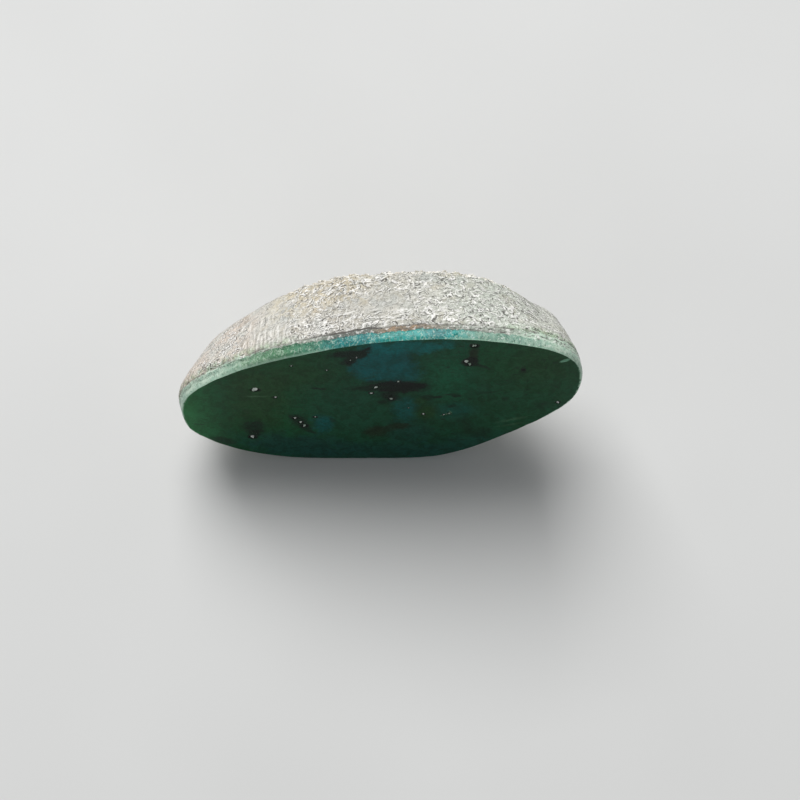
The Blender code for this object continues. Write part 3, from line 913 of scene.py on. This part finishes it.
@dataclass
class StoneSkin:
    """The stone's whole surface as one closed skin.

    Attributes:
        axes: The polished face's axes.
        surface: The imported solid's surface.
        face: The face's finish, which also says where its pits are.
        stations: How many points go round the rim. It is a multiple of 4.
        belt_steps: How many rings the belt has below the worn edge.
        edge_steps: How many rings the worn edge has.
        edge_round: The worn edge's radius.
        edge_start: How far the worn edge has turned, in degrees, where it meets the polished face.
        edge_draw: How much further the worn edge draws in than a round one does.
        edge_waves: How much that varies along the rim, and how far apart its waves are.
        edge_gap: How far behind the worn edge the belt's first ring lies, as a share of the edge's depth.
        centre: The point that the rim's rays start from, across and up.
        corner_way: The direction, in degrees from the belt's own outward one, in which the back rim is furthest.
        corner_turns: The slopes at which the back rim is looked for: the first, the last and their distance.
        heart: How deep inside the stone those rays start.
        evening: How many times the rings are evened out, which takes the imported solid's facets away.
        soften: How many times more the face's foot is evened out.
        foot: Up to where on the face it is evened out fully, and where that ends.
        left_draw: How much further the worn edge draws in at the upper left, where across, and how widely.
        upper_half: Where on the face that upper part starts.
        shoulder: A bulge at the upper right: its height, its place across and its width.
        dip: The hollow beside it, told the same way.
        layer_depth: How thick the turquoise layer is at the left, in the middle and at the right.
        crumb_from: Where the crumbly strip of the back rim starts, across.
        crumb_to: Where it ends.
        behind: How deep a point of the two closing grids lies at least if it belongs to the back.
        piece: The piece, once it is modelled.
        ring_of: Each point's ring, or -1 off the belt.
        station_of: Each point's station, or -1 off the belt.
        zones: Each point's zone.
    """

    axes: FaceAxes
    surface: PackedSurface
    face: FaceFinish
    stations: int = 640
    belt_steps: int = 46
    edge_steps: int = 6
    edge_round: float = 0.80
    edge_start: float = 62.0
    edge_draw: float = 1.4
    edge_waves: tuple[float, float] = (0.35, 1.3)
    edge_gap: float = 1.02
    centre: tuple[float, float] = (0.2, 10.6)
    corner_way: float = 62.0
    corner_turns: tuple[float, float, float] = (4.0, 50.0, 1.0)
    heart: float = 2.0
    evening: int = 10
    soften: int = 300
    foot: tuple[float, float] = (3.0, 6.5)
    left_draw: tuple[float, float, float] = (1.8, -7.5, 3.0)
    upper_half: float = 10.0
    shoulder: tuple[float, float, float] = (0.18, 13.8, 0.8)
    dip: tuple[float, float, float] = (0.17, 12.2, 0.9)
    layer_depth: tuple[float, float, float] = (0.86, 1.10, 1.12)
    crumb_from: float = -6.6
    crumb_to: float = 9.9
    behind: float = 1.0
    piece: bpy.types.Object | None = field(default=None, init=False)
    ring_of: np.ndarray | None = field(default=None, init=False)
    station_of: np.ndarray | None = field(default=None, init=False)
    zones: np.ndarray | None = field(default=None, init=False)

    @property
    def rings(self) -> int:
        """How many rings the belt has in all, the worn edge's included."""
        return self.edge_steps + self.belt_steps + 1

    def build(self) -> bpy.types.Object:
        """Models the skin.

        Returns:
            The finished piece.
        """
        angles = self.station_angles()
        table = self.ring_table(angles)
        self.raise_tube()
        self.shape_tube(table)
        self.close_ends()
        self.settle_back()
        self.relieve(table)
        self.map_flat(table)
        return self.piece

    def outward(self, angle: float, depth: float) -> Vector:
        """The belt's point at an angle round the centre and a depth behind the face."""
        return self.surface.seen(Vector((*self.centre, depth)), Vector((math.cos(angle), math.sin(angle), 0.0)))

    def station_angles(self) -> np.ndarray:
        """Angles round the centre that are evenly far apart along the rim, from the lowest point round by the right.

        Returns:
            One angle for each station.
        """
        fine = np.linspace(-0.5 * math.pi, 1.5 * math.pi, 4 * self.stations + 1)
        rim = np.array([self.outward(angle, 1.0)[:2] for angle in fine])
        run = self.runs(rim)
        return np.interp(np.linspace(0.0, run[-1], self.stations, endpoint=False), run, fine)

    def back_corner(self, angle: float) -> float:
        """The depth of the back rim at an angle: where the section reaches furthest outwards and back.

        Args:
            angle: The angle round the centre.

        Returns:
            The depth.
        """
        way = math.radians(self.corner_way)
        inner = Vector((*self.centre, self.heart))
        best, depth = -math.inf, 0.0
        for turn in np.radians(np.arange(*self.corner_turns)):
            flat, back = math.cos(turn), math.sin(turn)
            spot = self.surface.seen(inner, Vector((math.cos(angle) * flat, math.sin(angle) * flat, back)))
            reach = (spot - inner).to_2d().length * math.cos(way) + spot.z * math.sin(way)
            if reach > best:
                best, depth = reach, spot.z
        return depth

    def ring_table(self, angles: np.ndarray) -> np.ndarray:
        """Where every point of the belt lies, ring by ring from the face's rim to the back rim.

        Args:
            angles: The stations' angles.

        Returns:
            An array of rings, stations and the three parts of a place on the face's axes.
        """
        corners = evened(np.array([self.back_corner(angle) for angle in angles]), 3 * self.evening)
        shares = np.linspace(0.0, 1.0, self.belt_steps + 1)
        first = math.radians(self.edge_start)
        start = self.edge_round * math.cos(first) * self.edge_gap
        below = np.empty((self.belt_steps + 1, self.stations, 3))
        for k, angle in enumerate(angles):
            for ring, share in enumerate(shares):
                below[ring, k] = self.outward(angle, start + (corners[k] - start) * share)
        for _ in range(self.evening):
            below = evened(below, 1, axis=1)
            below[1:-1] = (below[:-2] + 2.0 * below[1:-1] + below[2:]) / 4.0
        soft = evened(below, self.soften, axis=1)
        foot = np.array([1.0 - smooth_step(up, *self.foot) for up in below[0, :, 1]])
        below += (soft - below) * foot[None, :, None] * (1.0 - shares)[:, None, None]
        rim = below[0]
        along = np.roll(rim, -1, axis=0) - np.roll(rim, 1, axis=0)
        along /= np.linalg.norm(along, axis=1, keepdims=True)
        outward = np.stack([along[:, 1], -along[:, 0], np.zeros(self.stations)], axis=1)
        high, far = self.edge_waves
        waves = [1.0 + high * noise.noise(Vector((place / far, 2.0, 6.0))) for place in self.runs(rim)]
        draw = self.edge_draw * np.array(waves)
        further, *where = self.left_draw
        draw += [further * hill(across, *where) if up > self.upper_half else 0.0 for across, up, _ in rim]
        edge = []
        for turn in first + (0.5 * math.pi - first) * np.arange(self.edge_steps) / self.edge_steps:
            ring = rim + outward * self.edge_round * (math.sin(turn) - 1.0) * draw[:, None]
            ring[:, 2] = self.edge_round * (math.cos(first) - math.cos(turn))
            edge.append(ring)
        return np.concatenate([np.array(edge), below])

    def raise_tube(self) -> None:
        """Adds an open tube and cuts it into rings, as many as the belt has."""
        deselect_all()
        bpy.ops.mesh.primitive_cylinder_add(
            vertices=self.stations, radius=self.centre[1] * MM, depth=self.rings * MM,
            end_fill_type="NOTHING", location=(0.0, 0.0, 0.0),
        )
        self.piece = bpy.context.object
        self.piece.name = self.piece.data.name = "turquoise_stone"
        half = 0.5 * self.rings * MM
        select_edges(self.piece, lambda _, edge: abs(edge.verts[0].co.z - edge.verts[1].co.z) > half)
        bpy.ops.mesh.subdivide(number_cuts=self.rings - 2)
        bpy.ops.object.mode_set(mode="OBJECT")

    def shape_tube(self, table: np.ndarray) -> None:
        """Moves every ring of the tube onto the stone's own outline at its depth.

        Args:
            table: Where every point of the belt lies.
        """
        mesh = self.piece.data
        spots = np.array([vert.co for vert in mesh.vertices])
        turn = np.mod(np.arctan2(spots[:, 1], spots[:, 0]) + 0.5 * math.pi, 2.0 * math.pi)
        stations = np.rint(turn / (2.0 * math.pi) * self.stations).astype(int) % self.stations
        share = spots[:, 2] / (self.rings * MM) + 0.5
        rings = np.rint(share * (self.rings - 1)).astype(int)
        for vert, ring, station in zip(mesh.vertices, rings, stations):
            vert.co = self.axes.placed(*table[ring, station])
        for name, values in (("ring", rings), ("station", stations)):
            mesh.attributes.new(name, "INT", "POINT").data.foreach_set("value", values.astype(np.int32))

    def close_ends(self) -> None:
        """Closes the polished face and the back with grids, which have no pole, and points all faces outwards."""
        for last in (0, self.rings - 1):

            def on_rim(sheet: bmesh.types.BMesh, edge: bmesh.types.BMEdge, last: int = last) -> bool:
                """True for an open edge of the end's own ring."""
                layer = sheet.verts.layers.int["ring"]
                return edge.is_boundary and all(vert[layer] == last for vert in edge.verts)

            select_edges(self.piece, on_rim)
            bpy.ops.mesh.fill_grid(span=self.stations // 4, offset=self.stations // 8, use_interp_simple=True)
            bpy.ops.object.mode_set(mode="OBJECT")
        make_active(self.piece)
        bpy.ops.object.mode_set(mode="EDIT")
        bpy.ops.mesh.select_all(action="SELECT")
        bpy.ops.mesh.normals_make_consistent(inside=False)
        bpy.ops.object.mode_set(mode="OBJECT")

    def settle_back(self) -> None:
        """Lets the back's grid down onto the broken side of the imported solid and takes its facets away."""
        mesh = self.piece.data
        count = len(mesh.vertices)
        belt_count = self.rings * self.stations
        self.ring_of, self.station_of = np.empty(count, np.int32), np.empty(count, np.int32)
        for name, values in (("ring", self.ring_of), ("station", self.station_of)):
            mesh.attributes[name].data.foreach_get("value", values)
            values[belt_count:] = -1
        back = [k for k in range(belt_count, count) if self.axes.local(mesh.vertices[k].co)[2] > self.behind]
        focus = Vector((*self.centre, 0.5 * self.behind))
        for k in back:
            spot = Vector(self.axes.local(mesh.vertices[k].co))
            mesh.vertices[k].co = self.axes.placed(*self.surface.seen(focus, spot - focus))
        self.zones = np.full(count, Zone.FACE)
        self.zones[:belt_count] = Zone.BELT
        self.zones[back] = Zone.BACK
        self.even_out(self.zones == Zone.BACK, self.evening)

    def even_out(self, chosen: np.ndarray, times: int) -> None:
        """Smooths part of the skin in edit mode.

        Args:
            chosen: Which vertices move.
            times: How many times they are smoothed.
        """
        make_active(self.piece)
        bpy.ops.object.mode_set(mode="EDIT")
        bpy.ops.mesh.select_mode(type="VERT")
        bpy.ops.mesh.select_all(action="DESELECT")
        bpy.ops.object.mode_set(mode="OBJECT")
        self.piece.data.vertices.foreach_set("select", chosen)
        bpy.ops.object.mode_set(mode="EDIT")
        bpy.ops.mesh.vertices_smooth(factor=0.5, repeat=times)
        bpy.ops.object.mode_set(mode="OBJECT")

    def seam_depth(self, across: float) -> float:
        """How deep the turquoise layer's border with the rock lies.

        Args:
            across: The place across the face.

        Returns:
            The depth behind the face.
        """
        left, middle, right = self.layer_depth
        wave = 0.10 * noise.noise(Vector((across / 2.3, 4.0, 1.0)))
        wave += 0.05 * noise.noise(Vector((across / 0.8, 9.0, 2.0)))
        if across < 0.0:
            return middle + (left - middle) * smooth_step(-across, 3.0, 12.0) + wave
        return middle + (right - middle) * smooth_step(across, 2.0, 8.0) + wave

    def crumbliness(self, across: float, up: float, from_rim: float) -> float:
        """How crumbly the rock is: 1 along the top of the back rim.

        Args:
            across: The place across the face.
            up: The place up the face.
            from_rim: How far it is from the back rim.

        Returns:
            The crumbliness, from 0 to 1.
        """
        ends = smooth_step(across, self.crumb_from - 0.5, self.crumb_from + 0.3)
        ends *= 1.0 - smooth_step(across, self.crumb_to - 0.4, self.crumb_to + 0.6)
        return ends * smooth_step(up, 9.0, 13.0) * (1.0 - smooth_step(from_rim, 0.1, 0.8))

    def relieve(self, table: np.ndarray) -> None:
        """Gives the skin its relief and writes what the finishes read: relief, seam, broken, crumbly, hollow, and
        edge, the worn edge's painted highlight.

        Args:
            table: Where every point of the belt lies.
        """
        mesh = self.piece.data
        count = len(mesh.vertices)
        names = ("relief", "seam", "broken", "crumbly", "hollow", "edge")
        written = {name: np.zeros(count, np.float32) for name in names}
        belt = np.zeros((count, 3), np.float32)
        run = self.runs(table[self.edge_steps])
        low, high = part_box(NODE)
        middle = (low + high) / 2.0
        normals = [vert.normal.copy() for vert in mesh.vertices]
        rim = KDTree(self.stations)
        for station, spot in enumerate(table[-1]):
            rim.insert(spot, station)
        rim.balance()
        for k, vert in enumerate(mesh.vertices):
            across, up, depth = self.axes.local(vert.co)
            spot = Vector((across, up, depth))
            zone = self.zones[k]
            if zone == Zone.FACE:
                sunk = self.face_pits(across, up)
                vert.co -= normals[k] * (sunk * MM)
                written["hollow"][k] = min(1.0, 20.0 * sunk)
                continue
            seam = self.seam_depth(across)
            from_rim = rim.find(spot)[2]
            if zone == Zone.BELT:
                ring, station = self.ring_of[k], self.station_of[k]
                broken = 1.0 - smooth_step(from_rim, 0.0, 0.3)
                belt[k] = (run[station], depth, 0.0)
                # The worn edge's painted highlight, on its first part only.
                written["edge"][k] = self.edge_light(across, up) * (1.0 - smooth_step(depth, 0.04, 0.15))
            else:
                broken = 1.0
            crumbly = self.crumbliness(across, up, from_rim)
            height = self.belt_height(spot, seam, belt[k][0]) * (1.0 - broken)
            height += self.back_height(spot) * broken * max(crumbly, smooth_step(from_rim, 0.1, 1.3))
            height += crumbly * self.crumb_height(spot)
            height *= smooth_step(vert.co.z / MM, 0.0, 0.5)
            if zone == Zone.BELT and ring < self.edge_steps:
                height = self.edge_height(run[station]) * min(1.0, ring / 2.0)
            shoulder = self.shoulder[0] * hill(across, *self.shoulder[1:]) - self.dip[0] * hill(across, *self.dip[1:])
            shoulder *= smooth_step(up, 11.0, 14.0) * smooth_step(depth, 1.5, 3.5)
            moved = vert.co + normals[k] * ((height + shoulder) * MM)
            moved.z = max(moved.z, 0.0)
            for part in range(3):
                reach = (high[part] - middle[part]) * PROUD
                moved[part] = min(middle[part] + reach, max(middle[part] - reach, moved[part]))
            vert.co = moved
            for name, value in (("relief", height), ("seam", seam), ("broken", broken), ("crumbly", crumbly)):
                written[name][k] = value
        for name, values in written.items():
            mesh.attributes.new(name, "FLOAT", "POINT").data.foreach_set("value", values)
        mesh.attributes.new("belt", "FLOAT_VECTOR", "POINT").data.foreach_set("vector", belt.ravel())

    def face_pits(self, across: float, up: float) -> float:
        """How deep the polished face is sunk at a place, in its pits.

        Args:
            across: The place across the face.
            up: The place up the face.

        Returns:
            The depth.
        """
        sunk = 0.0
        for speck in self.face.specks():
            away = math.hypot(across - speck.centre[0], up - speck.centre[1])
            if away < 1.4 * speck.radius:
                sunk = max(sunk, speck.depth * (1.0 - smooth_step(away, 0.4 * speck.radius, 1.3 * speck.radius)))
        return sunk

    def edge_height(self, run: float) -> float:
        """The worn cutting edge: slight waves and a few small chips.

        Args:
            run: How far along the rim it is.

        Returns:
            How far it stands out.
        """
        chips = max(0.0, noise.noise(Vector((run / 0.42, 3.0, 7.0))) - 0.42)
        return -0.30 * chips - 0.02 * abs(noise.noise(Vector((run / 0.9, 5.0, 1.0))))

    def edge_light(self, across: float, up: float) -> float:
        """How much painted highlight the worn edge gets: a little everywhere, more along the upper edge outside its
        middle to offset the shade where the edge turns from the light, and most at the left end and the lower right,
        where its rounding catches the light.

        Args:
            across: The place across the face.
            up: The place up the face.

        Returns:
            The share, from 0 to 1.
        """
        left = smooth_step(-across, 11.5, 13.0) * smooth_step(13.0 - up, 0.0, 2.5)
        right = smooth_step(across, 11.8, 13.2) * smooth_step(17.5 - up, 0.0, 2.0)
        top = max(smooth_step(-across, 2.5, 4.5), smooth_step(across, 4.0, 6.5)) * smooth_step(up, 8.0, 11.0)
        return 0.06 + 0.42 * top + 0.52 * max(left, right) * (1.0 - 0.7 * top)

    def crumb_height(self, spot: Vector) -> float:
        """How far the crumbly strip of the back rim stands out.

        Args:
            spot: The place on the face's axes.

        Returns:
            The height.
        """
        lumps = abs(noise.noise(spot / 0.62)) + 0.8 * abs(noise.noise(spot / 0.30 + Vector((4.0, 4.0, 4.0))))
        return 0.22 * lumps - 0.10

    def belt_height(self, spot: Vector, seam: float, run: float) -> float:
        """How far the ground belt's surface stands out: smooth on the layer, gritty and pitted on the rock.

        Args:
            spot: The place on the face's axes.
            seam: The layer's depth there.
            run: How far along the rim it is.

        Returns:
            The height.
        """
        depth = spot.z
        rock = smooth_step(depth, seam - 0.12, seam + 0.15)
        height = 0.010 * noise.noise(spot / 0.5)
        height += rock * (0.030 * noise.noise(spot / 0.9) + 0.024 * noise.noise(spot / 0.42))
        height += rock * 0.016 * noise.noise(Vector((run / 2.6, depth / 0.16, 2.0)))
        some = smooth_step(noise.noise(spot / 1.5 + Vector((7.0, 1.0, 3.0))), -0.1, 0.25)
        winding = abs(noise.noise(spot / 0.62 + Vector((2.0, 5.0, 1.0))))
        height -= rock * some * 0.045 * (1.0 - smooth_step(winding, 0.0, 0.09))
        groove = hill(depth, seam, 0.09) * smooth_step(noise.noise(Vector((run / 1.4, 8.0, 3.0))), -0.35, 0.1)
        height -= 0.10 * groove
        return height

    def back_height(self, spot: Vector) -> float:
        """How far the broken back's surface stands out: lumps, edges and pits of several sizes.

        Args:
            spot: The place on the face's axes.

        Returns:
            The height.
        """
        height = 0.16 * noise.noise(spot / 1.7) + 0.13 * noise.noise(spot / 0.8) + 0.08 * noise.noise(spot / 0.38)
        near, next_near = noise.voronoi(spot / 1.15)[0][:2]
        height += 0.17 * (min(1.0, 2.2 * (next_near - near)) - 0.5)
        grains, next_grains = noise.voronoi(spot / 0.42)[0][:2]
        height += 0.07 * (min(1.0, 2.5 * (next_grains - grains)) - 0.5)
        return height

    @staticmethod
    def runs(ring: np.ndarray) -> np.ndarray:
        """How far along a ring each of its points is."""
        return np.concatenate([[0.0], np.cumsum(np.linalg.norm(np.diff(ring, axis=0), axis=1))])

    def map_flat(self, table: np.ndarray) -> None:
        """Lays the skin out flat for the bake: the face over the back at the left, the belt in two strips beside them.

        Args:
            table: Where every point of the belt lies.
        """
        mesh = self.piece.data
        run = self.runs(table[self.edge_steps])
        half_run = float(run[self.stations // 2])
        local = np.array([self.axes.local(vert.co) for vert in mesh.vertices])
        low = local[:, :2].min(axis=0)
        face_top = MAP_GAP + float(np.ptp(local[:, 1]))
        layer = mesh.uv_layers.new(name=BAKE_MAP)
        corners = np.empty(len(mesh.loops), np.int32)
        mesh.loops.foreach_get("vertex_index", corners)
        flat = np.zeros((len(mesh.loops), 2))
        for polygon in mesh.polygons:
            loops = np.arange(polygon.loop_start, polygon.loop_start + polygon.loop_total)
            verts = corners[loops]
            kinds = self.zones[verts]
            if np.any(kinds == Zone.FACE) or (self.ring_of[verts] == 0).all():
                flat[loops] = local[verts, :2] - low + MAP_GAP
            elif np.any(kinds == Zone.BACK) or (self.ring_of[verts] == self.rings - 1).all():
                flat[loops] = local[verts, :2] - low + (MAP_GAP, MAP_GAP + face_top)
            else:
                stations = self.station_of[verts].astype(float)
                if stations.max() - stations.min() > 0.5 * self.stations:
                    stations[stations < 0.5 * self.stations] += self.stations
                along = np.interp(stations, np.arange(self.stations + 1), np.append(run, run[-1] + run[1]))
                strip = 0 if stations.min() < self.stations // 2 else 1
                flat[loops, 0] = STRIP_LEFT + strip * STRIP_PITCH + self.ring_of[verts] * RING_PITCH
                flat[loops, 1] = MAP_GAP + along - strip * half_run
        layer.data.foreach_set("uv", (flat / MAP_SIDE).ravel().astype(np.float32))

    def dress(self, face: bpy.types.Material, rock: bpy.types.Material) -> None:
        """Gives the polished face its material, and the belt and back theirs, and smooths the shading.

        Args:
            face: The polished face's material.
            rock: The belt's and the back's material.
        """
        mesh = self.piece.data
        mesh.materials.clear()
        mesh.materials.append(face)
        mesh.materials.append(rock)
        for polygon in mesh.polygons:
            on_face = all(self.zones[k] == Zone.FACE or self.ring_of[k] == 0 for k in polygon.vertices)
            polygon.material_index = 0 if on_face else 1
        make_active(self.piece)
        bpy.ops.object.shade_smooth()
        for edge in mesh.edges:
            edge.use_edge_sharp = all(self.ring_of[k] == 0 for k in edge.vertices)


@dataclass(frozen=True)
class Seat:
    """Where a grain sits.

    Attributes:
        place: The grain's middle.
        out: The way that points out of the stone there.
        along: The way that the grain is longest.
        radius: Its radius, in millimetres.
        length: How much longer it is than wide.
    """

    place: Vector
    out: Vector
    along: Vector
    radius: float
    length: float


@dataclass
class Grains:
    """Small angular grains that are shaped once, copied, and set half into the stone.

    Attributes:
        name: The piece's name.
        seed: Where the random numbers for their shapes start.
        uneven: How far a grain's corners stray, as a share of its radius.
        fineness: How often the grain's first 20 faces are divided, counting from 1.
    """

    name: str
    seed: int
    uneven: float
    fineness: int

    def seats(self, skin: StoneSkin) -> list[Seat]:
        """Picks the grains' seats on the finished skin; each kind of grain has its own way."""
        raise NotImplementedError

    def pattern(self) -> bpy.types.Object:
        """Models the one grain that the others are copied from.

        Returns:
            The grain, with a radius of one millimetre.
        """
        deselect_all()
        bpy.ops.mesh.primitive_ico_sphere_add(subdivisions=self.fineness, radius=MM, location=(0.0, 0.0, 0.0))
        grain = bpy.context.object
        bpy.ops.object.mode_set(mode="EDIT")
        bpy.ops.mesh.select_all(action="SELECT")
        bpy.ops.mesh.vertices_smooth(factor=0.2)
        bpy.ops.object.mode_set(mode="OBJECT")
        return grain

    def build(self, skin: StoneSkin, material: bpy.types.Material) -> bpy.types.Object:
        """Sets a grain on each seat and joins them all.

        Args:
            skin: The finished skin.
            material: The grains' material.

        Returns:
            The finished piece.
        """
        draw = random.Random(self.seed)
        pattern = self.pattern()
        copies = []
        for seat in self.seats(skin):
            grain = pattern.copy()
            grain.data = pattern.data.copy()
            bpy.context.collection.objects.link(grain)
            side = seat.out.cross(seat.along).normalized()
            turned = Matrix((side, seat.out.cross(side) * -1.0, seat.out)).transposed()
            stretch = Vector((draw.uniform(0.75, 1.2), seat.length * draw.uniform(0.8, 1.2), draw.uniform(0.65, 1.0)))
            shift = Vector((draw.uniform(-50.0, 50.0), draw.uniform(-50.0, 50.0), 0.0))
            for vert in grain.data.vertices:
                corner = vert.co / MM
                bumps = noise.noise(corner * 1.3 + shift) + 0.5 * noise.noise(corner * 3.0 + shift)
                bumpy = 1.0 + self.uneven * bumps
                vert.co = seat.place + turned @ (vert.co * stretch * (bumpy * seat.radius))
            copies.append(grain)
        bpy.data.objects.remove(pattern)
        deselect_all()
        for grain in copies:
            grain.select_set(True)
        bpy.context.view_layer.objects.active = copies[0]
        bpy.ops.object.join()
        piece = bpy.context.object
        piece.name = piece.data.name = self.name
        piece.data.materials.clear()
        piece.data.materials.append(material)
        make_active(piece)
        bpy.ops.object.shade_smooth_by_angle(angle=math.radians(CREASE))
        return piece


@dataclass
class RimCrumbs(Grains):
    """The loose crumbs that cling along the top of the back rim.

    Attributes:
        count: How many crumbs there are.
        place_seed: Where the random numbers for their places start.
        crumbly: How crumbly the rock has to be for one to cling.
        smallest: The smallest crumb's radius.
        spread: How much larger the largest is.
        sunk: How deep a crumb sits, as a share of its radius.
    """

    name: str = "rim_crumbs"
    seed: int = 7
    uneven: float = 0.5
    fineness: int = 1
    count: int = 560
    place_seed: int = 11
    crumbly: float = 0.6
    smallest: float = 0.04
    spread: float = 0.09
    sunk: float = 0.15

    def seats(self, skin: StoneSkin) -> list[Seat]:
        """Picks where the crumbs cling.

        Args:
            skin: The finished skin.

        Returns:
            The crumbs' seats.
        """
        draw = random.Random(self.place_seed)
        mesh = skin.piece.data
        crumbly = np.empty(len(mesh.vertices), np.float32)
        mesh.attributes["crumbly"].data.foreach_get("value", crumbly)
        spots = [k for k in range(len(mesh.vertices)) if crumbly[k] > self.crumbly]
        seats = []
        for _ in range(self.count):
            vert = mesh.vertices[draw.choice(spots)]
            radius = self.smallest + self.spread * draw.random() ** 2
            along = Vector((draw.uniform(-1.0, 1.0), draw.uniform(-1.0, 1.0), draw.uniform(-1.0, 1.0)))
            place = vert.co - vert.normal * (self.sunk * radius * MM)
            seats.append(Seat(place, vert.normal.copy(), along, radius, draw.uniform(0.9, 1.5)))
        return seats


@dataclass
class FaceGrains(Grains):
    """The bright mineral grains in the pits of the polished face.

    Attributes:
        sunk: How deep a grain's middle sits, as a share of its radius, so that it ends near the polish.
        length: How much longer a grain is than wide.
    """

    name: str = "face_grains"
    seed: int = 9
    uneven: float = 0.9
    fineness: int = 2
    sunk: float = 0.6
    length: float = 1.5

    def seats(self, skin: StoneSkin) -> list[Seat]:
        """Sets a bright grain in each pit that has one.

        Args:
            skin: The finished skin.

        Returns:
            The grains' seats.
        """
        out, along = skin.axes.turned(0.0, 0.0, -1.0), skin.axes.turned(0.15, 1.0, 0.0)
        return [
            Seat(skin.axes.placed(*speck.centre, self.sunk * speck.grain), out, along, speck.grain, self.length)
            for speck in skin.face.specks()
            if speck.grain
        ]


@dataclass(frozen=True)
class GrainFinish:
    """A mineral grain's finish: a colour that varies from grain to grain, and how rough it is."""

    name: str
    light: Colour
    dark: Colour
    roughness: float

    def material(self) -> bpy.types.Material:
        """Makes the grains' material.

        Returns:
            The material.
        """
        bench = Bench(self.name)
        colour = bench.blend(bench.noise(0.6, 3.0, 0.6).step(0.36, 0.64), self.light, self.dark)
        specks = bench.noise(0.12, 2.0, 0.6).step(0.60, 0.70)
        return bench.finish(
            base_color=bench.blend(specks * 0.5, colour, self.dark),
            roughness=self.roughness,
            normal=bench.bump(bench.noise(0.09, 3.0, 0.7), 0.00003),
        )


@dataclass(frozen=True)
class Studio:
    """The plain pale floor, the soft lights and the camera.

    Attributes:
        floor_side: The floor's side, in metres.
        target: The point that the camera looks at, in millimetres.
        height_angle: How high the camera stands, in degrees above the horizon.
        distance: How far it is from the target, in millimetres.
        lens: Its focal length for a film 36 mm wide.
    """

    floor_side: float = 1.6
    target: tuple[float, float, float] = (1.7204, -2.7746, 10.99)
    height_angle: float = 80.0
    distance: float = 150.0
    lens: float = 90.0

    def floor(self) -> bpy.types.Object:
        """Lays the floor.

        Returns:
            The floor.
        """
        deselect_all()
        bpy.ops.mesh.primitive_plane_add(size=self.floor_side, location=(0.0, 0.0, 0.0))
        floor = bpy.context.object
        floor.name = floor.data.name = "floor"
        bench = Bench("pale matt floor")
        colour = bench.blend(bench.noise(30.0).step(0.2, 0.8), (0.60, 0.60, 0.59), (0.63, 0.63, 0.62))
        floor.data.materials.append(bench.finish(base_color=colour, roughness=0.9, specular_ior_level=0.2))
        return floor

    def lamp(self, name: str, azimuth: float, height_angle: float, distance: float, size: float, power: float) -> None:
        """Hangs a square soft light that faces the stone.

        Args:
            name: The light's name.
            azimuth: Where it stands, in degrees round from the front by the right.
            height_angle: How high it stands, in degrees above the horizon.
            distance: How far away it is, in metres.
            size: Its side, in metres.
            power: Its power, in watts.
        """
        light = bpy.data.lights.new(name, "AREA")
        light.shape, light.size, light.energy = "SQUARE", size, power
        lamp = bpy.data.objects.new(name, light)
        bpy.context.scene.collection.objects.link(lamp)
        around, above = math.radians(azimuth), math.radians(height_angle)
        away = Vector((math.sin(around) * math.cos(above), -math.cos(around) * math.cos(above), math.sin(above)))
        lamp.location = away * distance + Vector((0.0, 0.0, 0.01))
        lamp.rotation_euler = away.to_track_quat("Z", "Y").to_euler()

    def lights(self) -> None:
        """Hangs the lights: a large one above and behind, a weak one in front, and a pale surrounding."""
        self.lamp("key_light", azimuth=196.0, height_angle=54.0, distance=0.62, size=0.38, power=4.9)
        self.lamp("front_light", azimuth=-28.0, height_angle=40.0, distance=0.80, size=0.60, power=0.3)
        world = bpy.data.worlds.new("pale surrounding")
        world.use_nodes = True
        sky = world.node_tree.nodes["Background"].inputs
        sky["Color"].default_value, sky["Strength"].default_value = (0.92, 0.96, 1.0, 1.0), 0.22
        bpy.context.scene.world = world

    def camera(self) -> None:
        """Sets the camera at the picture's viewing angle."""
        data = bpy.data.cameras.new("camera")
        data.lens, data.sensor_width = self.lens, 36.0
        data.clip_start, data.clip_end = 0.001, 10.0
        camera = bpy.data.objects.new("camera", data)
        bpy.context.scene.collection.objects.link(camera)
        above = math.radians(self.height_angle)
        away = Vector((0.0, -math.cos(above), math.sin(above)))
        camera.location = (Vector(self.target) + away * self.distance) * MM
        camera.rotation_euler = away.to_track_quat("Z", "Y").to_euler()
        bpy.context.scene.camera = camera


def settle(piece: bpy.types.Object) -> None:
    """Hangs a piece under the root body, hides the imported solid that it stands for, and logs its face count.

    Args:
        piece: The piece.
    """
    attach(piece, "root")
    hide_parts(NODE)
    LOG.info("%s: %d faces", piece.name, len(piece.data.polygons))


def main() -> None:
    """Builds the stone's pieces in order, then the studio."""
    logging.basicConfig(level=logging.INFO, format="%(message)s")
    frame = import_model()
    node = frame["nodes"][NODE]
    axes = FaceAxes.of_node(node, math.radians(LEAN))
    face_finish, rock_finish = FaceFinish(), RockFinish()

    skin = StoneSkin(axes, PackedSurface(node, axes), face_finish)
    settle(skin.build())
    skin.dress(face_finish.material(axes), rock_finish.material(axes))

    chalky = GrainFinish("pale crumbs", light=(0.86, 0.84, 0.79), dark=(0.62, 0.58, 0.50), roughness=0.9)
    settle(RimCrumbs().build(skin, chalky.material()))
    bright = GrainFinish("bright mineral grains", light=(0.95, 0.96, 0.92), dark=(0.36, 0.50, 0.38), roughness=0.35)
    settle(FaceGrains().build(skin, bright.material()))

    studio = Studio()
    studio.floor()
    studio.lights()
    studio.camera()
    bpy.context.scene.view_settings.view_transform = "Standard"
    deselect_all()


if __name__ == "__main__":
    main()
